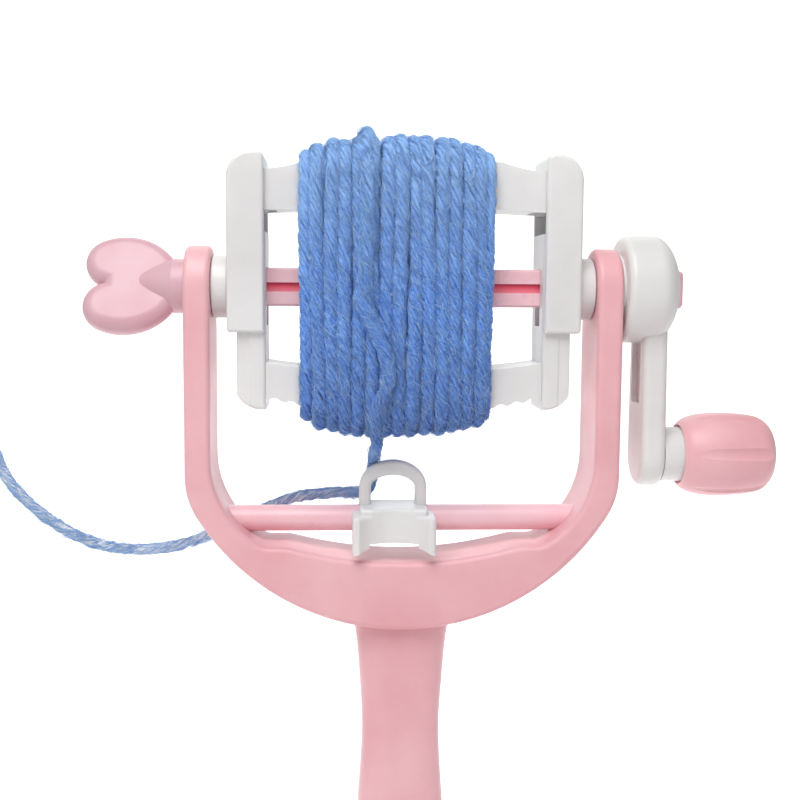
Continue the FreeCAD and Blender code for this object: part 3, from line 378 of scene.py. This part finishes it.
def dress_cad_nodes():
    """Every node that shows gets the detailed look of its material slot."""
    slots = {part["node"]: part["material_slot"] for part in frame["record"]["subparts"]}
    for name, node in frame["nodes"].items():
        look = OWN_LOOKS.get(name) or SLOT_LOOKS[slots[name]]
        if not node.data.materials:
            node.data.materials.append(look)
        for slot in node.material_slots:
            slot.material = look


# ---- yarn geometry ------------------------------------------------------------------
CAKE_YARN_RADIUS = 2.30 * MM
BUNDLES = 8
TWIST_PITCH = 22.0 * MM         # the length in which the bundles go once round
BUNDLE_ORBIT = 0.69             # of the strand's radius
BUNDLE_RADIUS = 0.32            # of the strand's radius
BUNDLE_TURN = 1.37              # shift of the fibre pattern from one bundle to the next


def transported_frames(points):
    """Two normals along a line, turned as little as possible on the way."""
    tangents = np.gradient(points, axis=0)
    tangents /= np.linalg.norm(tangents, axis=1)[:, None]
    normals = np.zeros_like(points)
    start = np.cross(tangents[0], (1.0, 0.3, 0.2))
    normals[0] = start / np.linalg.norm(start)
    for i in range(1, len(points)):
        n = normals[i - 1] - tangents[i] * np.dot(normals[i - 1], tangents[i])
        normals[i] = n / np.linalg.norm(n)
    return normals, np.cross(tangents, normals)


def even_steps(points, step):
    """The same line with points a fixed distance apart."""
    gaps = np.linalg.norm(np.diff(points, axis=0), axis=1)
    run = np.concatenate(([0.0], np.cumsum(gaps)))
    count = max(2, int(round(run[-1] / step)) + 1)
    marks = np.linspace(0.0, run[-1], count)
    return np.stack([np.interp(marks, run, points[:, k]) for k in range(3)], axis=1), marks


def soft_noise(marks, rng, waves, amount):
    """Sum of sines with random phases over a length: a smooth, repeatable wander."""
    total = np.zeros_like(marks)
    for wave in waves:
        total += np.sin(2 * math.pi * marks / (wave * rng.uniform(0.8, 1.25)) + rng.uniform(0, 2 * math.pi))
    return amount * total / math.sqrt(len(waves))


def unit(vectors):
    return vectors / np.linalg.norm(vectors, axis=-1, keepdims=True)


class TubeSet:
    """Collects tubes and turns them into one mesh with a UV map along and round each tube."""

    def __init__(self):
        self.points = []
        self.faces = []
        self.uvs = []
        self.count = 0

    def add(self, rings, marks, turns):
        """rings is (tubes, samples, sides, 3), marks (tubes, samples) and turns one per tube."""
        tubes, samples, sides, _ = rings.shape
        self.points.append(rings.reshape(-1, 3))
        t = np.arange(tubes)[:, None, None] * samples * sides
        i = np.arange(samples - 1)[None, :, None] * sides
        j = np.arange(sides)[None, None, :]
        k = (j + 1) % sides
        corners = [t + i + j, t + i + k, t + i + sides + k, t + i + sides + j]
        self.faces.append(np.stack(corners, axis=3).reshape(-1, 4) + self.count)
        shape = (tubes, samples - 1, sides)
        u0 = np.broadcast_to(marks[:, :-1, None] / MM, shape)
        u1 = np.broadcast_to(marks[:, 1:, None] / MM, shape)
        v0 = np.broadcast_to(turns[:, None, None] + j / sides, shape)
        v1 = np.broadcast_to(turns[:, None, None] + (j + 1) / sides, shape)
        self.uvs.append(np.stack([u0, v0, u0, v1, u1, v1, u1, v0], axis=3).reshape(-1, 2))
        self.count += tubes * samples * sides

    def build(self, name, material):
        faces = np.concatenate(self.faces)
        mesh = bpy.data.meshes.new(name)
        mesh.vertices.add(self.count)
        mesh.vertices.foreach_set("co", np.concatenate(self.points).astype(np.float32).ravel())
        mesh.loops.add(faces.size)
        mesh.loops.foreach_set("vertex_index", faces.astype(np.int32).ravel())
        mesh.polygons.add(len(faces))
        mesh.polygons.foreach_set("loop_start", np.arange(0, faces.size, 4, dtype=np.int32))
        mesh.polygons.foreach_set("use_smooth", np.ones(len(faces), dtype=bool))
        layer = mesh.uv_layers.new(name="fibres")
        layer.data.foreach_set("uv", np.concatenate(self.uvs).astype(np.float32).ravel())
        mesh.update(calc_edges=True)
        mesh.validate()
        mesh.materials.append(material)
        piece = bpy.data.objects.new(name, mesh)
        bpy.context.scene.collection.objects.link(piece)
        return piece


def tube_rings(line, out, side, radius, sides):
    """Rings round lines (tubes, samples, 3) from two normals and a radius at each sample."""
    angle = np.linspace(0, 2 * math.pi, sides, endpoint=False)
    c = np.cos(angle)[:, None]
    s = np.sin(angle)[:, None]
    spokes = c * out[:, :, None, :] + s * side[:, :, None, :]
    return line[:, :, None, :] + radius[:, :, None, None] * spokes


class Strand:
    """One strand of yarn: bundles of fibres twisted loosely round a centre line."""

    def __init__(self, centre, radius, rng, step=1.25 * MM, closed_ends=True, fuller=(0.0, 1.0)):
        """fuller is a share that the radius gains at the start, and the length over which it fades."""
        self.line, self.marks = even_steps(centre, step)
        self.normals, self.others = transported_frames(self.line)
        self.twist = -2 * math.pi * self.marks / TWIST_PITCH
        swell = 1.0 + soft_noise(self.marks, rng, (9 * MM, 17 * MM, 41 * MM), 0.06)
        extra, reach = fuller
        self.radius = radius * swell * (1.0 + extra * np.clip(1.0 - self.marks / reach, 0.0, 1.0))
        if closed_ends:
            taper = np.clip(np.minimum(self.marks, self.marks[-1] - self.marks) / radius, 0.02, 1.0)
            self.radius = self.radius * np.sqrt(taper)
        self.lay_bundles(rng)

    def lay_bundles(self, rng):
        cores = []
        outs = []
        thicks = []
        first = rng.uniform(0, 2 * math.pi)
        for k in range(BUNDLES):
            angle = first + 2 * math.pi * k / BUNDLES + self.twist
            angle = angle + soft_noise(self.marks, rng, (13 * MM, 31 * MM), 0.13)
            place = BUNDLE_ORBIT + soft_noise(self.marks, rng, (7 * MM, 15 * MM, 37 * MM), 0.05)
            orbit = self.radius * place
            out = np.cos(angle)[:, None] * self.normals + np.sin(angle)[:, None] * self.others
            cores.append(self.line + orbit[:, None] * out)
            outs.append(out)
            share = BUNDLE_RADIUS + soft_noise(self.marks, rng, (5 * MM, 11 * MM, 23 * MM), 0.035)
            thicks.append(self.radius * share)
        self.cores = np.stack(cores)
        self.outs = np.stack(outs)
        self.thicks = np.stack(thicks)

    def fill(self, tubes, sides=6, first=0, last=None):
        """Add the bundles to a tube set, or the stretch of them between two samples."""
        here = slice(first, last)
        cores = self.cores[:, here]
        side = unit(np.cross(np.gradient(cores, axis=1), self.outs[:, here]))
        rings = tube_rings(cores, self.outs[:, here], side, self.thicks[:, here], sides)
        marks = np.broadcast_to(self.marks[here], cores.shape[:2])
        tubes.add(rings, marks, np.arange(BUNDLES) * BUNDLE_TURN)

    def comb(self, tubes, rng, per_mm, length, lift, width, lean, samples, first=0, last=None):
        """Fine fibres on the surface: they follow the twist, more or less, and stand off a little."""
        last = len(self.line) if last is None else last
        low, high = self.marks[first], self.marks[last - 1]
        count = int(per_mm * (high - low) / MM)
        long = length * rng.uniform(0.5, 1.3, count)
        start = rng.uniform(low, np.maximum(low, high - long))
        t = np.linspace(0.0, 1.0, samples)
        marks = start[:, None] + long[:, None] * t
        turn = rng.uniform(0, 2 * math.pi, count)[:, None] + self.at(marks, self.twist)
        sway = rng.normal(0.0, lean, count)[:, None]
        turn = turn + sway * t + sway * rng.uniform(-0.6, 0.9, count)[:, None] * t * t
        normals = unit(self.at(marks, self.normals))
        others = unit(self.at(marks, self.others))
        out = np.cos(turn)[:, :, None] * normals + np.sin(turn)[:, :, None] * others
        rise = lift * rng.gamma(2.0, 0.5, count)[:, None]
        rise = rise * np.sin(math.pi * t * rng.uniform(0.7, 1.0, count)[:, None])
        height = self.at(marks, self.radius) * 0.97 + rise
        hair = self.at(marks, self.line) + height[:, :, None] * out
        side = unit(np.cross(np.gradient(hair, axis=1), out))
        thin = width * rng.uniform(0.6, 1.3, count)[:, None] * (1.0 - 0.7 * np.abs(2 * t - 1.0) ** 3)
        tubes.add(tube_rings(hair, out, side, thin, 3), marks - start[:, None], rng.uniform(0, 300, count))

    def at(self, marks, values):
        """Values of the strand at any marks, read between its samples."""
        if values.ndim == 1:
            return np.interp(marks, self.marks, values)
        return np.stack([np.interp(marks, self.marks, values[:, k]) for k in range(3)], axis=-1)


def surface_fibres(strand, close, loose, rng, density=1.0, **stretch):
    """Fibres that hug the strand and a few long ones that stand off it."""
    strand.comb(close, rng, per_mm=6.0 * density, length=4.2 * MM, lift=0.24 * MM, width=0.115 * MM,
                lean=0.80, samples=5, **stretch)
    strand.comb(loose, rng, per_mm=4.0 * density, length=4.6 * MM, lift=0.50 * MM, width=0.055 * MM,
                lean=1.7, samples=6, **stretch)


# ---- the cake -----------------------------------------------------------------------
BAR_TOP = BAR_HIGH.z - AXIS.z
CAKE_MIDDLE = (CAKE_LOW.x + CAKE_HIGH.x) / 2
CAKE_HALF_WIDTH = (CAKE_HIGH.x - CAKE_LOW.x) / 2
INNER_TURNS = 14
OUTER_TURNS = 13
TURN_SAMPLES = 120
BACK = 0.75                     # share of a turn at which the back begins


def rounded_loop(share, half_height, half_depth, corner):
    """Points on rounded rectangles round the spindle. Share 0 is the top, then front, foot and back."""
    straight_z = 2 * (half_height - corner)
    straight_y = 2 * (half_depth - corner)
    quarter = math.pi / 2 * corner
    total = 2 * (straight_y + straight_z) + 4 * quarter
    s = (share % 1.0) * total
    y = np.zeros_like(s)
    z = np.zeros_like(s)
    inner_y = half_depth - corner
    inner_z = half_height - corner
    stretches = (
        (straight_y / 2, None, (0.0, half_height), (-1, 0)),
        (quarter, 90.0, (-inner_y, inner_z), None),
        (straight_z, None, (-half_depth, inner_z), (0, -1)),
        (quarter, 180.0, (-inner_y, -inner_z), None),
        (straight_y, None, (-inner_y, -half_height), (1, 0)),
        (quarter, 270.0, (inner_y, -inner_z), None),
        (straight_z, None, (half_depth, -inner_z), (0, 1)),
        (quarter, 0.0, (inner_y, inner_z), None),
        (straight_y / 2, None, (inner_y, half_height), (-1, 0)),
    )
    begin = 0.0
    for length, start_angle, origin, heading in stretches:
        here = (s >= begin) & (s <= begin + length)
        along = s[here] - begin
        if start_angle is None:
            y[here] = origin[0] + heading[0] * along
            z[here] = origin[1] + heading[1] * along
        else:
            angle = np.radians(start_angle) + along / corner
            y[here] = origin[0] + corner * np.cos(angle)
            z[here] = origin[1] + corner * np.sin(angle)
        begin += length
    return y, z


def winding(turns, first_x, last_x, layer, crown, rng, wander):
    """Centre line of a run of turns that cross the front straight and step aside at the back.

    Layer is half the height, half the depth and the corner radius, and crown is what the middle
    turns gain in half height and half depth.
    """
    start, end = BACK, turns + BACK
    phase = np.linspace(start, end, turns * TURN_SAMPLES)
    y, z = rounded_loop(phase, *layer)
    step_start, step_run = 0.45, 0.5
    step = np.clip((phase % 1.0 - step_start) / step_run, 0.0, 1.0)
    progress = (np.floor(phase) + step * step * (3.0 - 2.0 * step) - 1.0) / (turns - 1.0)
    x = first_x + (last_x - first_x) * np.clip(progress, 0.0, 1.0)
    x = x + soft_noise(phase, rng, (0.37, 0.83, 1.9), wander)
    fullness = 1.0 - np.abs(np.clip((x - CAKE_MIDDLE) / CAKE_HALF_WIDTH, -1, 1)) ** 3
    loose = soft_noise(phase, rng, (0.31, 0.71, 1.3), 0.3 * MM)
    tuck_run, tuck_depth = 0.12, 0.10
    near_end = np.clip(1.0 - np.minimum(phase - start, end - phase) / tuck_run, 0.0, 1.0)
    tuck = 1.0 - tuck_depth * near_end
    half_height, half_depth, _ = layer
    y = y * tuck * (1.0 + (crown[1] * fullness + loose) / half_depth)
    z = z * tuck * (1.0 + (crown[0] * fullness + loose) / half_height)
    return np.stack([x, y, z + AXIS.z], axis=1)


def add_layer(name, path, radius, rng, density):
    """One run of turns with its surface fibres, on the reel. Returns the piece without its fibres."""
    tubes, close, loose = TubeSet(), TubeSet(), TubeSet()
    strand = Strand(path, radius, rng)
    strand.fill(tubes)
    surface_fibres(strand, close, loose, rng, density)
    made = {}
    for suffix, source, look in (("", tubes, YARN), ("_fibres", close, FIBRES), ("_fuzz", loose, FUZZ)):
        piece = source.build(name + suffix, look)
        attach(piece, "rotor")
        made[suffix] = piece
    return made[""]


def add_cake():
    """The wound yarn: an inner and an outer run of turns, and one turn over them all."""
    rng = np.random.default_rng(41)
    r = CAKE_YARN_RADIUS
    inner = (BAR_TOP + 0.25 * r, BAR_HIGH.y + 1.0 * r, 6.0 * MM)
    outer = (BAR_TOP + 0.30 * r, BAR_HIGH.y + 1.3 * r, 8.0 * MM)
    left = CAKE_MIDDLE - CAKE_HALF_WIDTH + 1.2 * r
    right = CAKE_MIDDLE + CAKE_HALF_WIDTH - 1.0 * r
    path = winding(INNER_TURNS, right, left, inner, (1.0 * MM, 0.3 * MM), rng, 0.35 * MM)
    first = add_layer("yarn_inner_turns", path, r, rng, 0.5)
    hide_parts("yarn_cake")
    right, left = right - 2.0 * MM, left + 3.6 * MM
    path = winding(OUTER_TURNS, right, left, outer, (5.0 * MM, 3.0 * MM), rng, 0.6 * MM)
    add_layer("yarn_outer_turns", path, r, rng, 1.2)
    add_layer("yarn_top_turn", smooth_line("top_turn", TOP_TURN), 0.95 * r, rng, 1.5)


# The last turn crosses the others: up the back, over the crown and down the front.
TOP_TURN = (
    (-3.0, 14.0, -12.0),
    (-5.0, 18.6, 2.0),
    (-9.0, 18.8, 22.0),
    (-12.0, 17.6, 39.0),
    (-12.9, 11.5, 48.4),
    (-12.6, 0.0, 49.7),
    (-12.4, -11.5, 48.4),
    (-12.6, -18.2, 37.5),
    (-12.7, -19.4, 20.0),
    (-12.9, -19.6, 6.0),
    (-13.7, -19.2, -4.0),
    (-10.6, -17.0, -13.0),
    (-8.0, -11.0, -20.0),
)


def smooth_line(name, places):
    """Points of a NURBS spline through millimetre places about the spindle's axis."""
    curve = bpy.data.curves.new(name, "CURVE")
    curve.dimensions = "3D"
    curve.resolution_u = 24
    spline = curve.splines.new("NURBS")
    spline.points.add(len(places) - 1)
    for point, place in zip(spline.points, places):
        point.co = (*(AXIS + Vector(place) * MM), 1.0)
    spline.order_u = 3
    spline.use_endpoint_u = True
    holder = bpy.data.objects.new(name, curve)
    bpy.context.scene.collection.objects.link(holder)
    bpy.context.view_layer.update()
    mesh = bpy.data.meshes.new_from_object(holder)
    points = np.array([v.co for v in mesh.vertices])
    bpy.data.objects.remove(holder)
    bpy.data.meshes.remove(mesh)
    return points


# ---- free yarn ----------------------------------------------------------------------
# Points of the free yarn's route about the spindle's axis, in millimetres.
YARN_ROUTE = (
    (-8.7, -11.4, -50.9),
    (-9.2, -5.2, -53.7),
    (-9.6, 2.2, -57.9),
    (-10.0, 4.1, -64.2),
    (-11.4, 5.6, -69.8),
    (-20.0, 9.6, -70.1),
    (-29.0, 14.8, -71.6),
    (-40.0, 18.0, -73.8),
    (-56.0, 18.7, -82.4),
    (-76.5, 18.3, -91.2),
    (-100.0, 18.0, -92.2),
    (-119.0, 17.7, -83.8),
    (-135.6, 18.1, -68.4),
    (-140.0, 18.6, -56.0),
    (-145.0, 18.3, -44.6),
)
FREE_STRAND_RADIUS = 1.68 * MM

# The same yarn before it leaves the cake: out of the turns and down their front.
LEAD_IN = (
    (-12.6, -12.5, 11.0),
    (-13.2, -18.2, 3.0),
    (-13.9, -19.9, -5.5),
    (-9.8, -20.2, -13.5),
    (-5.4, -20.2, -24.5),
    (-6.2, -19.9, -31.5),
    (-8.8, -19.2, -37.5),
    (-9.4, -17.0, -44.5),
    (-9.0, -14.0, -49.2),
    (-8.7, -11.4, -50.9),
)


def follow_guide(piece):
    """The yarn hangs between the cake and the guide; its place is baked into the mesh, and it is not tied to the
    guide.
    """
    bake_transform(piece)


def add_free_yarn():
    rng = np.random.default_rng(7)
    lead = smooth_line("lead_in", LEAD_IN)
    route = smooth_line("free_yarn_route", YARN_ROUTE)
    lead_length = np.linalg.norm(np.diff(lead, axis=0), axis=1).sum()
    whole = np.concatenate((lead[:-1], route))
    strand = Strand(whole, FREE_STRAND_RADIUS, rng, step=0.8 * MM, fuller=(0.42, 1.5 * lead_length))
    split = int(np.searchsorted(strand.marks, lead_length))
    stretches = (
        ("yarn_lead", 0, split + 1, YARN, FIBRES),
        ("free_yarn_strand", split, len(strand.line), PAINTED_LIGHT_LOOSE_YARN, FUZZ),
    )
    for name, first, last, look, hair in stretches:
        tubes, close, loose = TubeSet(), TubeSet(), TubeSet()
        strand.fill(tubes, 8, first, last)
        surface_fibres(strand, close, loose, rng, density=1.3, first=first, last=last)
        for suffix, source, dress in (("", tubes, look), ("_fibres", close, hair), ("_fuzz", loose, FUZZ)):
            piece = source.build(name + suffix, dress)
            follow_guide(piece)
    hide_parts("free_yarn")
    add_end_knot(route)


KNOT_REACH = 0.72 * MM          # sets the size of the knot's loops
KNOT_STRAND_RADIUS = 1.35 * MM
KNOT_NECK = 4.0 * MM            # how far the yarn's last stretch is doubled before the knot
TAIL_HAIRS = 14
TAIL_HAIR_RADIUS = 0.32 * MM


def add_end_knot(route):
    """Overhand knot at the far end, with a short frayed tail."""
    rng = np.random.default_rng(19)
    low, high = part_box("yarn_end_knot")
    middle = np.array((low + high) / 2)
    ahead = unit(route[-1] - route[-6])
    across = unit(np.cross(ahead, (0.0, 1.0, 0.0)))
    over = np.cross(ahead, across)
    t = np.linspace(0.0, 2 * math.pi, 90)
    ring = 2.0 + np.cos(3 * t)
    u = KNOT_REACH * ring * np.cos(2 * t)
    v = KNOT_REACH * ring * np.sin(2 * t)
    w = 1.5 * KNOT_REACH * np.sin(3 * t)
    line = middle + u[:, None] * across + v[:, None] * over + w[:, None] * ahead
    tubes = TubeSet()
    Strand(line, KNOT_STRAND_RADIUS, rng, step=0.5 * MM, closed_ends=False).fill(tubes)
    neck = np.linspace(route[-1] - KNOT_NECK * ahead, middle, 12)
    Strand(neck, FREE_STRAND_RADIUS, rng, step=0.5 * MM).fill(tubes)
    for _ in range(TAIL_HAIRS):
        spread = rng.normal(0.0, 0.28, 2)
        heading = unit(ahead + spread[0] * across + spread[1] * over)
        length = rng.uniform(5.0, 8.5) * MM
        s = np.linspace(0.0, 1.0, 9)[:, None]
        curl = rng.normal(0.0, 0.25, 2)
        tail = middle + (1.0 * MM + length * s) * heading
        tail = tail + length * s ** 2 * (curl[0] * across + curl[1] * over)
        tail_out = np.broadcast_to(across, tail.shape)
        side = unit(np.cross(np.gradient(tail, axis=0), tail_out))
        thin = TAIL_HAIR_RADIUS * (1.0 - 0.7 * s[:, 0])
        rings = tube_rings(tail[None], tail_out[None], side[None], thin[None], 5)
        tubes.add(rings, (s[:, 0] * length)[None], rng.uniform(0, 5, 1))
    knot = tubes.build("yarn_knot_loops", PAINTED_LIGHT_LOOSE_YARN)
    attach(knot, "guide")
    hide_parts("yarn_end_knot")
    return knot


# ---- studio -------------------------------------------------------------------------
WORLD_STRENGTH = 0.30
# Name, place, diameter, watts and colour.
LAMPS = (
    ("top_light", (-0.12, -0.40, 0.78), 0.60, 4.4, (1.0, 0.995, 0.985)),
    ("key_light", (-0.50, -0.75, 0.90), 0.60, 1.3, (1.0, 0.995, 0.99)),
    ("low_bounce", (0.05, -0.60, -0.02), 0.50, 0.25, (1.0, 0.50, 0.75)),
)


def add_studio():
    """Pale floor that curves up into a backdrop, a soft world and soft lamps."""
    floor_z = CAD_BOX[0][2] - 0.5 * MM
    half_width = 3.0
    front_y = -3.0
    bend_y = 1.2
    bend_radius = 0.6
    top_z = 3.0
    bend_steps = 8
    profile = [(front_y, 0.0), (bend_y, 0.0)]
    for step in range(1, bend_steps + 1):
        a = math.radians(90 * step / bend_steps)
        profile.append((bend_y + bend_radius * math.sin(a), bend_radius * (1 - math.cos(a))))
    profile.append((bend_y + bend_radius, top_z))
    points = [(x, y, floor_z + z) for y, z in profile for x in (-half_width, half_width)]
    faces = [(2 * i, 2 * i + 1, 2 * i + 3, 2 * i + 2) for i in range(len(profile) - 1)]
    mesh = bpy.data.meshes.new("studio_sweep")
    mesh.from_pydata(points, [], faces)
    mesh.polygons.foreach_set("use_smooth", [True] * len(faces))
    sweep = bpy.data.objects.new("studio_sweep", mesh)
    bpy.context.scene.collection.objects.link(sweep)
    mesh.materials.append(studio_paper())

    world = bpy.data.worlds.new("studio_world")
    world.use_nodes = True
    background = world.node_tree.nodes["Background"].inputs
    background["Color"].default_value = (1.0, 0.99, 0.985, 1.0)
    background["Strength"].default_value = WORLD_STRENGTH
    bpy.context.scene.world = world

    for lamp in LAMPS:
        add_lamp(*lamp)


def studio_paper():
    """White paper that glows behind the object and is plain under and before it."""
    paper = Nodes("studio_paper")
    place = paper.add("ShaderNodeTexCoord").outputs["Object"]
    cloud = paper.noise(place, 3.0, 3.0)
    paper.set_colour(paper.ramp(cloud, (0.3, (0.90, 0.90, 0.90)), (0.7, (0.93, 0.93, 0.93))))
    parts = paper.split(place)
    behind = paper.spread(parts["Y"], 0.10, 0.85, -0.03, 0.08)
    aside = paper.arithmetic("ABSOLUTE", parts["X"])
    near_middle = paper.spread(aside, 1.0, 0.15, 0.75, 1.15)
    glow = paper.arithmetic("MULTIPLY", behind, near_middle)
    paper.link(glow, paper.shader.inputs["Emission Strength"])
    paper.shader.inputs["Emission Color"].default_value = (1.0, 1.0, 1.0, 1.0)
    paper.shader.inputs["Roughness"].default_value = 0.9
    paper.shader.inputs["Specular IOR Level"].default_value = 0.1
    return paper.material


def add_lamp(name, place, size, watts, colour):
    data = bpy.data.lights.new(name, "AREA")
    data.shape = "DISK"
    data.size = size
    data.energy = watts
    data.color = colour
    lamp = bpy.data.objects.new(name, data)
    bpy.context.scene.collection.objects.link(lamp)
    lamp.location = Vector(place)
    aim = AXIS - Vector(place)
    lamp.rotation_euler = aim.to_track_quat("-Z", "Y").to_euler()


add_camera()
bpy.context.scene.view_settings.view_transform = "Standard"
dress_cad_nodes()
add_cake()
add_free_yarn()
add_studio()

bpy.context.view_layer.update()
